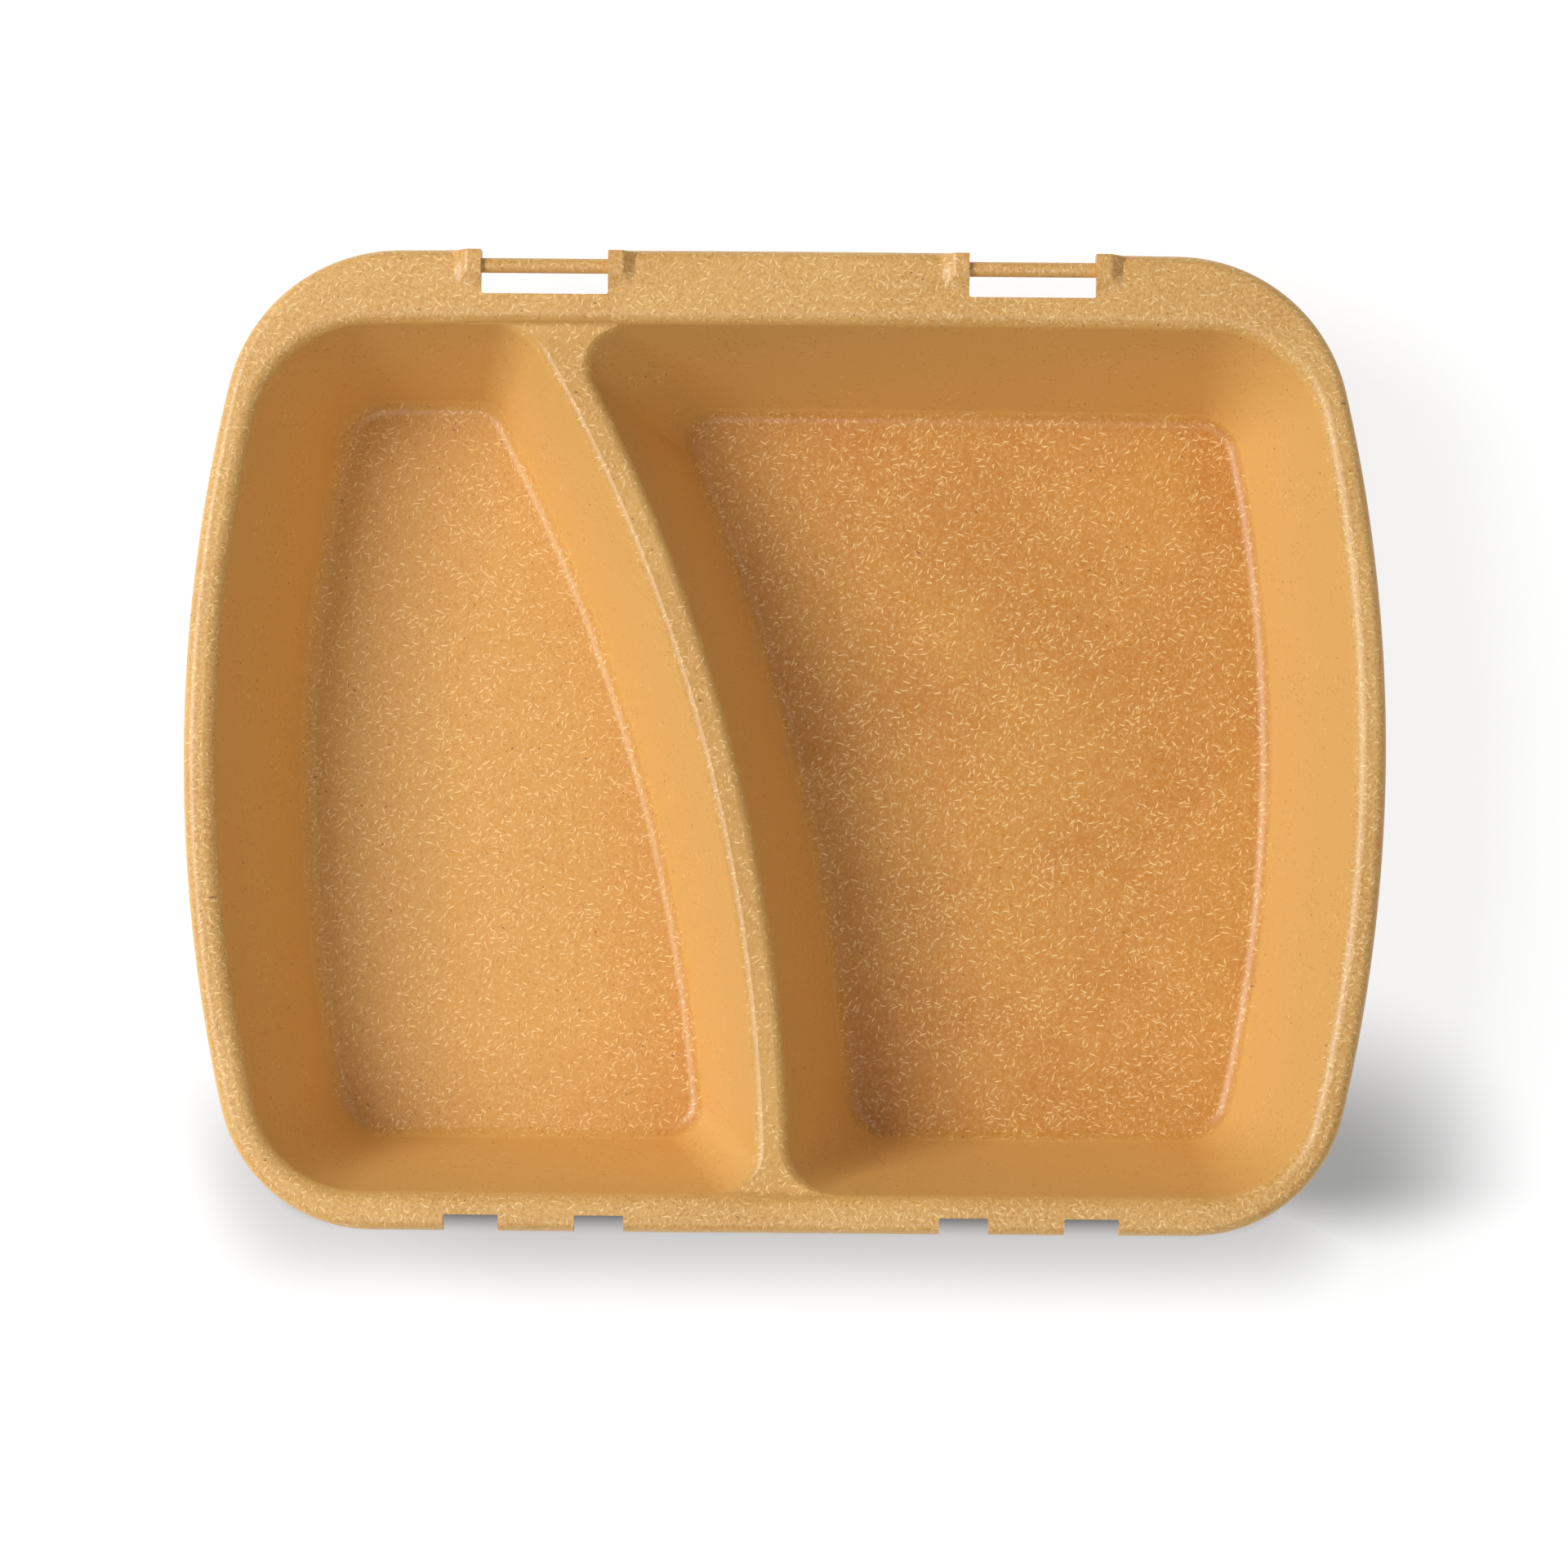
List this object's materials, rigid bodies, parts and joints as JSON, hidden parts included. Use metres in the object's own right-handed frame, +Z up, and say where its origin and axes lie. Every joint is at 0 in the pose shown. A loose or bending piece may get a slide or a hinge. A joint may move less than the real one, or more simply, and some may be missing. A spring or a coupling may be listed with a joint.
{
  "type": "meal container base",
  "caption": "Rounded shallow tray with two deep compartments split by a curved low divider, a snap-in hinge bar at each rear slot and notched latch tabs at the front rim.",
  "frame": {"origin": "centre of the underside, at table height", "axes": "+X to the right across the width (larger compartment), +Y to the hinge edge, +Z up out of the compartments"},
  "size_m": [0.24, 0.1966, 0.0464],
  "materials": {
    "husk_composite": "satin, flecked with fine light husk fibres"
  },
  "bodies": {
    "root": {"tray": "husk_composite"}
  },
  "joints": []
}
